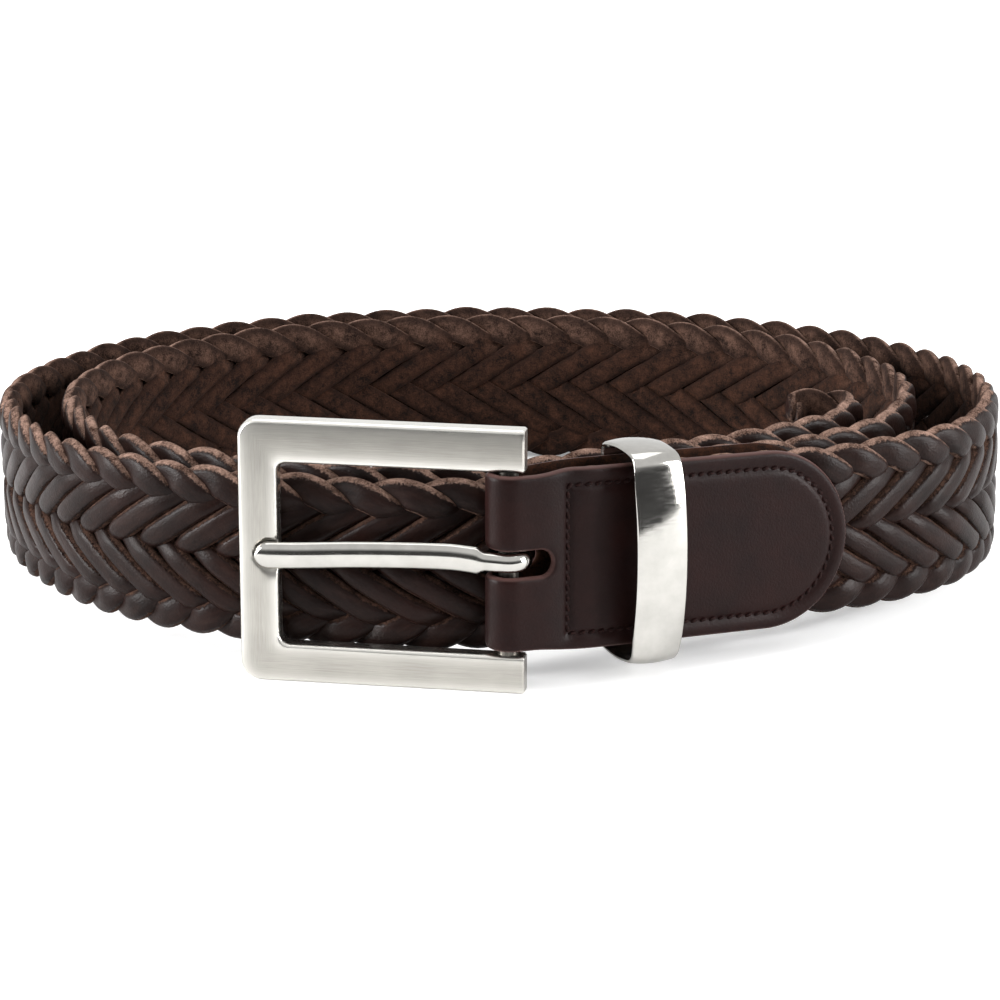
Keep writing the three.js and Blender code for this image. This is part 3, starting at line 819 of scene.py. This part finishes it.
def prong_piece(material):
    """The prong in one sweep: its finger from the tip to the bar, then its ring round the bar."""
    middle = RING_OUTER - RING_WALL / 2
    tip = FRAME_LENGTH - BAR_FROM_ARM_END - PRONG_TIP_BACK
    round_tip = PRONG_WIDTH / 2 * (1 - np.cos(np.linspace(0.12, 1, 12) * math.pi / 2))
    finger = np.concatenate([round_tip, np.linspace(PRONG_WIDTH / 2, tip, 70)[1:]])
    turns = np.linspace(0, RING_TURN, 40)[1:]
    from_bar = np.concatenate([(tip - finger) / tip, 0 * turns])
    dips, rises = (between(column(PRONG_ROWS, "along"), column(PRONG_ROWS, name), from_bar)
                   for name in ("dip", "rise"))
    x = np.concatenate([finger - tip, middle * np.sin(turns)])
    y = np.concatenate([0 * finger - middle, -middle * np.cos(turns)]) + PRONG_DIP * dips
    heading = np.stack([np.gradient(x), np.gradient(y)], axis=1)
    heading /= np.linalg.norm(heading, axis=1)[:, None]
    out = np.stack([-heading[:, 1], heading[:, 0]], axis=1)
    length = np.concatenate([finger, tip + turns * middle])
    back = np.clip(1 - length / (PRONG_WIDTH / 2), 0, 1)
    neck_start = RING_OUTER - RING_SHOULDER
    neck = smooth_step(length - tip + (RING_NECK + neck_start) / 2, RING_NECK - neck_start)
    width = (PRONG_WIDTH + (RING_WIDTH - PRONG_WIDTH) * neck) / 2 * np.sqrt(1 - back**2)
    depth = PRONG_THICKNESS / 2 * (1 - 0.5 * back**2)
    half = np.array(PRONG_SECTION)
    section = np.concatenate([half, (half * (-1, 1))[-2:0:-1]])
    rings = []
    for k in range(len(x)):
        offset = section[:, 1] * depth[k]
        rings.append(np.stack([x[k] + out[k, 0] * offset, y[k] + out[k, 1] * offset,
                               section[:, 0] * width[k] + rises[k] * MM], axis=1))
    places = moved(buckle_frame_matrix(), np.concatenate(rings))
    piece = new_piece("prong_pin", places, tube_faces(len(rings), len(section)), material,
                      "prong")
    sharpen(piece, 60)
    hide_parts("prong")
    return piece


# The keeper loop


def quadratic(start, control, end, count=9):
    """Points of a bent line towards its control point, without its start."""
    t = np.linspace(0, 1, count)[1:, None]
    start, control, end = np.array(start), np.array(control), np.array(end)
    return (1 - t) ** 2 * start + 2 * t * (1 - t) * control + t**2 * end


def keeper_outline():
    """The loop's outer outline, away from the wearer and up."""
    top = TAB_WIDTH / 2 + KEEPER_SIDE_GAP + KEEPER_WALL
    back = -TAB_HALF - PIECE_GAP - KEEPER_WALL
    shoulder = TAB_HALF + KEEPER_ROOM - KEEPER_BOW + KEEPER_WALL
    corner = KEEPER_CORNER + KEEPER_WALL / 2
    crest = shoulder + corner * 0.3
    bow = shoulder + KEEPER_BOW * 2 - corner * 0.3
    side = np.linspace(back + corner, shoulder - corner, 10)
    low = np.stack([side, np.full(10, -top)], axis=1)
    parts = [
        low,
        quadratic(low[-1], (shoulder, -top), (crest, -top + corner)),
        quadratic((crest, -top + corner), (bow, 0), (crest, top - corner), 40),
        quadratic((crest, top - corner), (shoulder, top), (shoulder - corner, top)),
        (low * (1, -1))[::-1][1:],
        quadratic((back + corner, top), (back, top), (back, top - corner)),
        quadratic((back, top - corner), (back, 0), (back, -top + corner), 16),
        quadratic((back, -top + corner), (back, -top), (back + corner, -top))[:-1],
    ]
    outline = np.concatenate(parts)
    share = np.clip((outline[:, 0] - back) / (shoulder - back), 0, 1)
    arch = KEEPER_ARCH * np.sin(math.pi * share) * (np.abs(outline[:, 1]) > top - corner)
    outline[:, 1] += np.sign(outline[:, 1]) * arch
    outline[:, 1] -= KEEPER_DROP * (outline[:, 1] < 0)
    return outline


def keeper_loop(material):
    outline = keeper_outline()
    heading = np.roll(outline, -1, axis=0) - np.roll(outline, 1, axis=0)
    heading /= np.linalg.norm(heading, axis=1)[:, None]
    out = np.stack([heading[:, 1], -heading[:, 0]], axis=1)
    half, rim = KEEPER_ALONG / 2, KEEPER_ROUND
    half_height = outline[:, 1].max()
    crowned = [(u, -KEEPER_CROWN * (u / half) ** 2) for u in np.linspace(-half + rim, half - rim, 9)]
    outer = [(-half, -rim - KEEPER_CROWN), (-half + 0.3 * rim, -0.3 * rim - KEEPER_CROWN), *crowned,
             (half - 0.3 * rim, -0.3 * rim - KEEPER_CROWN), (half, -rim - KEEPER_CROWN)]
    inner = [(half, -KEEPER_WALL + rim), (half - rim, -KEEPER_WALL), (-half + rim, -KEEPER_WALL),
             (-half, -KEEPER_WALL + rim)]
    rings = []
    for u, lift in outer + inner:
        away, up = (outline + out * lift).T
        narrower = 1 - KEEPER_TAPER * np.clip(abs(up) / half_height - KEEPER_TAPER_START, 0, 1) ** 2
        rings.append(np.stack([KEEPER_PLACE + half + u * narrower, -away, up], axis=1))
    faces = tube_faces(len(rings), len(outline), closed=True)
    piece = new_piece("keeper_loop", moved(tab_frame(), np.concatenate(rings)), faces, material,
                      "strap")
    sharpen(piece, 38)
    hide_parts("keeper")
    return piece


# Materials


class Nodes:
    """Short calls to add and join the nodes of a tree."""

    def __init__(self, tree):
        self.tree = tree

    def add(self, kind, inputs=(), **settings):
        node = self.tree.nodes.new("ShaderNode" + kind)
        for name, value in settings.items():
            setattr(node, name, value)
        for name, value in dict(inputs).items():
            self.feed(node.inputs[name], value)
        return node

    def feed(self, socket, value):
        if isinstance(value, bpy.types.NodeSocket):
            self.tree.links.new(value, socket)
        else:
            socket.default_value = value

    def attribute(self, name, output="Fac"):
        return self.add("Attribute", attribute_name=name).outputs[output]

    def object_place(self):
        return self.add("TexCoord").outputs["Object"]

    def noise(self, place, size, detail=3, roughness=0.55):
        """Noise whose lumps are about size across."""
        inputs = {"Vector": place, "Scale": 1 / size, "Detail": detail, "Roughness": roughness}
        return self.add("TexNoise", inputs).outputs["Fac"]

    def math(self, operation, a, b=0.0):
        node = self.add("Math", {0: a, 1: b}, operation=operation)
        return node.outputs[0]

    def stretch(self, place, scale):
        return self.add("Mapping", {"Vector": place, "Scale": scale}).outputs[0]

    def ramp(self, value, low, high, bottom=0.0, top=1.0):
        names = ("Value", "From Min", "From Max", "To Min", "To Max")
        return self.add("MapRange", dict(zip(names, (value, low, high, bottom, top)))).outputs[0]

    def mix(self, factor, a, b, blend="MIX"):
        node = self.add("Mix", data_type="RGBA", blend_type=blend)
        for socket, value in zip((node.inputs[0], node.inputs[6], node.inputs[7]), (factor, a, b)):
            self.feed(socket, value)
        return node.outputs[2]

    def bump(self, height, strength, distance, normal=None):
        inputs = {"Height": height, "Strength": strength, "Distance": distance}
        if normal:
            inputs["Normal"] = normal
        return self.add("Bump", inputs).outputs[0]

    def group(self, tree, **inputs):
        node = self.add("Group", node_tree=tree)
        for name, value in inputs.items():
            self.feed(node.inputs[name], value)
        return node.outputs


def new_group(name, inputs, outputs):
    """A node group with its input and output nodes; sockets are given as (name, kind)."""
    tree = bpy.data.node_groups.new(name, "ShaderNodeTree")
    for way, sockets in (("INPUT", inputs), ("OUTPUT", outputs)):
        for socket, kind in sockets:
            tree.interface.new_socket(socket, in_out=way, socket_type="NodeSocket" + kind)
    n = Nodes(tree)
    return tree, n, tree.nodes.new("NodeGroupInput").outputs, tree.nodes.new("NodeGroupOutput").inputs


def new_material(name, **values):
    material = bpy.data.materials.new(name)
    material.use_nodes = True
    shader = material.node_tree.nodes["Principled BSDF"]
    for socket, value in values.items():
        shader.inputs[socket.replace("_", " ")].default_value = value
    return material, Nodes(material.node_tree), shader.inputs


def rgb(red, green, blue):
    """Colour as a screen shows it, 0 to 255, for a shader's socket."""
    return (*[((v / 255 + 0.055) / 1.055) ** 2.4 for v in (red, green, blue)], 1)


def suede_group():
    """Raw leather: colour and fuzz of cut edges and the flesh side, with painted light: its light input
    turns the tones from shaded to lit.
    """
    tree, n, inputs, outputs = new_group("raw_leather", [("Place", "Vector"), ("Light", "Float")],
                                         [("Colour", "Color"), ("Height", "Float")])
    patches = n.noise(inputs["Place"], 3.5 * MM, 2, 0.5)
    clumps = n.noise(inputs["Place"], 1.1 * MM, 3, 0.6)
    specks = n.noise(inputs["Place"], 0.28 * MM, 2, 0.7)
    fuzz = n.math("ADD", n.math("MULTIPLY", clumps, 0.45), n.math("MULTIPLY", specks, 0.55))
    tone = n.math("ADD", n.math("MULTIPLY", fuzz, 0.7), n.math("MULTIPLY", patches, 0.3))
    # Painted light: the dark and the pale tone are both drawn lighter as the light input rises
    dark = n.mix(inputs["Light"], rgb(14, 7, 4), rgb(52, 31, 21))
    pale = n.mix(inputs["Light"], rgb(54, 30, 18), rgb(172, 141, 126))
    colour = n.mix(n.ramp(tone, 0.4, 0.62), dark, pale)
    n.feed(outputs["Colour"], colour)
    n.feed(outputs["Height"], fuzz)
    return tree


def grain_group():
    """Leather's grain side: slow change of tone and fine pores."""
    tree, n, inputs, outputs = new_group("leather_grain", [("Place", "Vector")],
                                         [("Tone", "Float"), ("Height", "Float")])
    tone = n.noise(inputs["Place"], 9 * MM, 4, 0.6)
    cells = n.add("TexVoronoi", {"Vector": inputs["Place"], "Scale": 1 / (0.45 * MM)}).outputs["Distance"]
    fine = n.noise(inputs["Place"], 0.35 * MM, 3, 0.6)
    n.feed(outputs["Tone"], tone)
    n.feed(outputs["Height"], n.math("ADD", n.math("MULTIPLY", cells, 0.5), fine))
    return tree


def braided_leather(suede, grain):
    material, n, shader = new_material("braided_leather", IOR=1.5, Specular_IOR_Level=0.105)
    place = n.object_place()
    strand_at = n.attribute("strand_at", "Vector")
    on_grain, on_flesh, rim = n.attribute("grain"), n.attribute("flesh"), n.attribute("rim")
    # Painted light: raw leather drawn paler on the strap's top rim, as if lit from above, and darker on
    # the flesh side
    light = n.math("MULTIPLY", n.ramp(on_flesh, 0, 0.6, 1, 0.22), n.ramp(rim, 0.1, 0.7, 0.12, 0.66))
    raw = n.group(suede, Place=place, Light=light)
    # Painted shade: on the flesh side each strand turns dark towards its edges, as if shaded by its
    # rounding
    across = n.math("ABSOLUTE", n.add("SeparateXYZ", {0: strand_at}).outputs[1])
    side_shade = n.ramp(across, 0.22 * STRAND_WIDTH, 0.48 * STRAND_WIDTH, 0, 0.75)
    raw_with_painted_shade = n.mix(n.math("MULTIPLY", side_shade, on_flesh), raw["Colour"], rgb(24, 13, 9))
    skin = n.group(grain, Place=place)
    creases = n.noise(n.stretch(strand_at, (0.35, 1, 1)), 1.6 * MM, 4, 0.65)
    dye = n.mix(n.ramp(skin["Tone"], 0.3, 0.7), rgb(15, 7, 5), rgb(28, 14, 11))
    dye = n.mix(n.ramp(creases, 0.45, 0.8, 0, 0.45), dye, rgb(47, 32, 27))
    ragged = n.math("ADD", on_grain, n.ramp(n.noise(place, 0.5 * MM), 0.3, 0.7, -0.25, 0.25))
    mask = n.ramp(ragged, 0.3, 0.6)
    n.feed(shader["Base Color"], n.mix(mask, raw_with_painted_shade, dye))
    satin = n.ramp(skin["Tone"], 0.3, 0.7, 0.45, 0.34)
    n.feed(shader["Roughness"], n.add("Mix", {0: mask, 2: 0.9, 3: satin}).outputs[0])
    rough = n.math("MULTIPLY", raw["Height"], n.math("SUBTRACT", 1.0, mask))
    fine = n.bump(n.math("ADD", skin["Height"], n.math("MULTIPLY", creases, 2.5)), 0.45, 0.1 * MM)
    n.feed(shader["Normal"], n.bump(rough, 0.8, 0.4 * MM, fine))
    return material


def tab_leather(suede, grain):
    material, n, shader = new_material("tab_leather", IOR=1.5, Specular_IOR_Level=0.1)
    place = n.object_place()
    on_flesh, inset = n.attribute("flesh"), n.attribute("inset")
    # The raw side takes the shaded tones of the painted light, which is set to none here
    raw = n.group(suede, Place=place, Light=0.0)
    skin = n.group(grain, Place=place)
    dye = n.mix(n.ramp(skin["Tone"], 0.3, 0.7), rgb(20, 8, 7), rgb(30, 13, 11))
    edge = n.ramp(inset, 0.1 * MM, 0.5 * MM, 1, 0)
    dye = n.mix(n.math("MULTIPLY", edge, 0.6), dye, rgb(98, 72, 68))
    n.feed(shader["Base Color"], n.mix(n.ramp(on_flesh, 0.5, 0.8), dye, raw["Colour"]))
    satin = n.ramp(skin["Tone"], 0.3, 0.7, 0.46, 0.38)
    n.feed(shader["Roughness"], n.add("Mix", {0: on_flesh, 2: satin, 3: 0.9}).outputs[0])
    n.feed(shader["Normal"], n.bump(skin["Height"], 0.4, 0.1 * MM))
    return material


def thread():
    material, n, shader = new_material("waxed_thread", Roughness=0.75, Specular_IOR_Level=0.1)
    place = n.object_place()
    tone = n.noise(place, 0.25 * MM, 2)
    n.feed(shader["Base Color"], n.mix(n.ramp(tone, 0.35, 0.65), rgb(14, 7, 6), rgb(38, 18, 16)))
    n.feed(shader["Normal"], n.bump(tone, 0.5, 0.08 * MM))
    return material


def brushed_nickel():
    material, n, shader = new_material("brushed_nickel", Metallic=1.0)
    local = n.attribute("plate_at", "Vector")
    x, _, z = (n.add("SeparateXYZ", {0: local}).outputs[i] for i in range(3))
    left = BAR_FROM_ARM_END - FRAME_LENGTH
    from_side = n.math("SUBTRACT", x, left)
    from_top = n.math("SUBTRACT", FRAME_HEIGHT / 2, n.math("ABSOLUTE", z))
    on_arm = n.ramp(n.math("SUBTRACT", from_side, from_top), -0.8 * MM, 0.8 * MM)
    lines_along = n.noise(n.stretch(local, (0.02, 1, 1)), 0.12 * MM, 3, 0.7)
    lines_up = n.noise(n.stretch(local, (1, 1, 0.02)), 0.12 * MM, 3, 0.7)
    lines = n.add("Mix", {0: on_arm, 2: lines_up, 3: lines_along}).outputs[0]
    cloud = n.noise(local, 7 * MM, 2)
    tone = n.math("ADD", n.math("MULTIPLY", lines, 0.7), n.math("MULTIPLY", cloud, 0.3))
    # Painted highlight: colour lighter towards the frame's edges, as if light caught them; the lower
    # roughness there is their polish
    polish_and_painted_highlight = n.attribute("polish_and_painted_highlight")
    brushed = n.mix(n.ramp(tone, 0.3, 0.7), rgb(152, 149, 143), rgb(180, 177, 170))
    n.feed(shader["Base Color"], n.mix(polish_and_painted_highlight, brushed, rgb(226, 224, 218)))
    satin = n.ramp(tone, 0.3, 0.7, 0.36, 0.29)
    n.feed(shader["Roughness"], n.math("SUBTRACT", satin, n.math("MULTIPLY", polish_and_painted_highlight, 0.06)))
    n.feed(shader["Normal"], n.bump(lines, 0.05, 0.03 * MM))
    return material


def painted_shade_bar_steel():
    """Steel of the hinge bar, rougher than the frame and coloured dark as painted shade for the shadow it
    lies in.
    """
    material, n, shader = new_material("painted_shade_bar_steel", Metallic=1.0)
    place = n.object_place()
    lines = n.noise(n.stretch(place, (1, 1, 0.1)), 0.3 * MM, 2)
    n.feed(shader["Base Color"], n.mix(n.ramp(lines, 0.3, 0.7), rgb(70, 67, 63), rgb(104, 100, 95)))
    n.feed(shader["Roughness"], n.ramp(lines, 0.3, 0.7, 0.32, 0.5))
    n.feed(shader["Normal"], n.bump(lines, 0.1, 0.05 * MM))
    return material


def polished_nickel():
    material, n, shader = new_material("polished_nickel", Metallic=1.0)
    place = n.object_place()
    cloud = n.noise(place, 3 * MM, 3)
    scratches = n.noise(n.stretch(place, (0.15, 0.15, 1)), 0.4 * MM, 2)
    n.feed(shader["Base Color"], n.mix(n.ramp(cloud, 0.3, 0.7), rgb(178, 176, 171), rgb(190, 188, 183)))
    n.feed(shader["Roughness"], n.ramp(scratches, 0.3, 0.7, 0.07, 0.15))
    n.feed(shader["Normal"], n.bump(cloud, 0.05, 0.1 * MM))
    return material


# Floor, light and camera


def floor():
    mesh = bpy.data.meshes.new("floor")
    corners = [(-FLOOR_REACH, -FLOOR_FRONT, 0), (FLOOR_REACH, -FLOOR_FRONT, 0),
               (FLOOR_REACH, FLOOR_REACH, 0), (-FLOOR_REACH, FLOOR_REACH, 0)]
    mesh.from_pydata(corners, [], [(0, 1, 2, 3)])
    material, n, shader = new_material("pale_floor", Base_Color=(0.9, 0.9, 0.9, 1), Roughness=0.8)
    shader["Emission Color"].default_value = (1, 1, 1, 1)
    seen = n.add("LightPath").outputs["Is Camera Ray"]
    n.feed(shader["Emission Strength"], n.math("MULTIPLY", seen, FLOOR_GLOW))
    mesh.materials.append(material)
    piece = bpy.data.objects.new("floor", mesh)
    bpy.context.scene.collection.objects.link(piece)


Lamp = namedtuple("Lamp", "name place width depth power")
LAMPS = [
    Lamp("above", (0, 0.1, 1.2), 1.3, 0.9, 6.5),
    Lamp("left", (-0.98, -0.28, 0.3), 0.3, 0.5, 19),
    Lamp("right", (0.92, -0.26, 0.26), 0.34, 0.5, 12),
]


def studio():
    """Bright surroundings, dark low down on the camera's side; the picture sees them as white."""
    world = bpy.data.worlds.new("studio")
    world.use_nodes = True
    n = Nodes(world.node_tree)
    direction = n.add("TexCoord").outputs["Generated"]
    _, away, up = (n.add("SeparateXYZ", {0: direction}).outputs[i] for i in range(3))
    bright = n.math("MAXIMUM", n.ramp(up, 0.2, 0.45), n.ramp(away, 0, 0.5))
    background = world.node_tree.nodes["Background"].inputs
    background["Color"].default_value = (1, 1, 1, 1)
    seen = n.add("LightPath").outputs["Is Camera Ray"]
    n.feed(background["Strength"], n.math("MAXIMUM", n.ramp(bright, 0, 1, 0.09, 1), seen))
    return world


def lights():
    for lamp in LAMPS:
        data = bpy.data.lights.new(lamp.name, "AREA")
        data.shape = "RECTANGLE"
        data.size = lamp.width
        data.size_y = lamp.depth
        data.energy = lamp.power
        light = bpy.data.objects.new(lamp.name, data)
        light.location = lamp.place
        aim = Vector((0, 0, 0.02)) - light.location
        light.rotation_euler = aim.to_track_quat("-Z", "Y").to_euler()
        bpy.context.scene.collection.objects.link(light)
    bpy.context.scene.world = studio()
    bpy.context.scene.view_settings.view_transform = "Standard"


def camera():
    data = bpy.data.cameras.new("camera")
    data.lens = CAMERA_LENS
    data.clip_end = 30
    view = bpy.data.objects.new("camera", data)
    view.location = coil_centre + Vector((0, -CAMERA_DISTANCE, CAMERA_HEIGHT))
    view.rotation_euler = (math.pi / 2 - CAMERA_PITCH, 0, 0)
    bpy.context.scene.collection.objects.link(view)
    bpy.context.scene.camera = view


def belt():
    suede, grain = suede_group(), grain_group()
    route = Route()
    strand_leather = braided_leather(suede, grain)
    strands = [strand(route, number, strand_leather) for number in range(STRANDS)]
    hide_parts("braided_strap")
    tab_leather_piece(tab_leather(suede, grain))
    stitches(thread())
    polished = polished_nickel()
    keeper_loop(polished)
    buckle_plate(brushed_nickel())
    hinge_bar(painted_shade_bar_steel())
    prong_piece(polished)


belt()
floor()
lights()
camera()
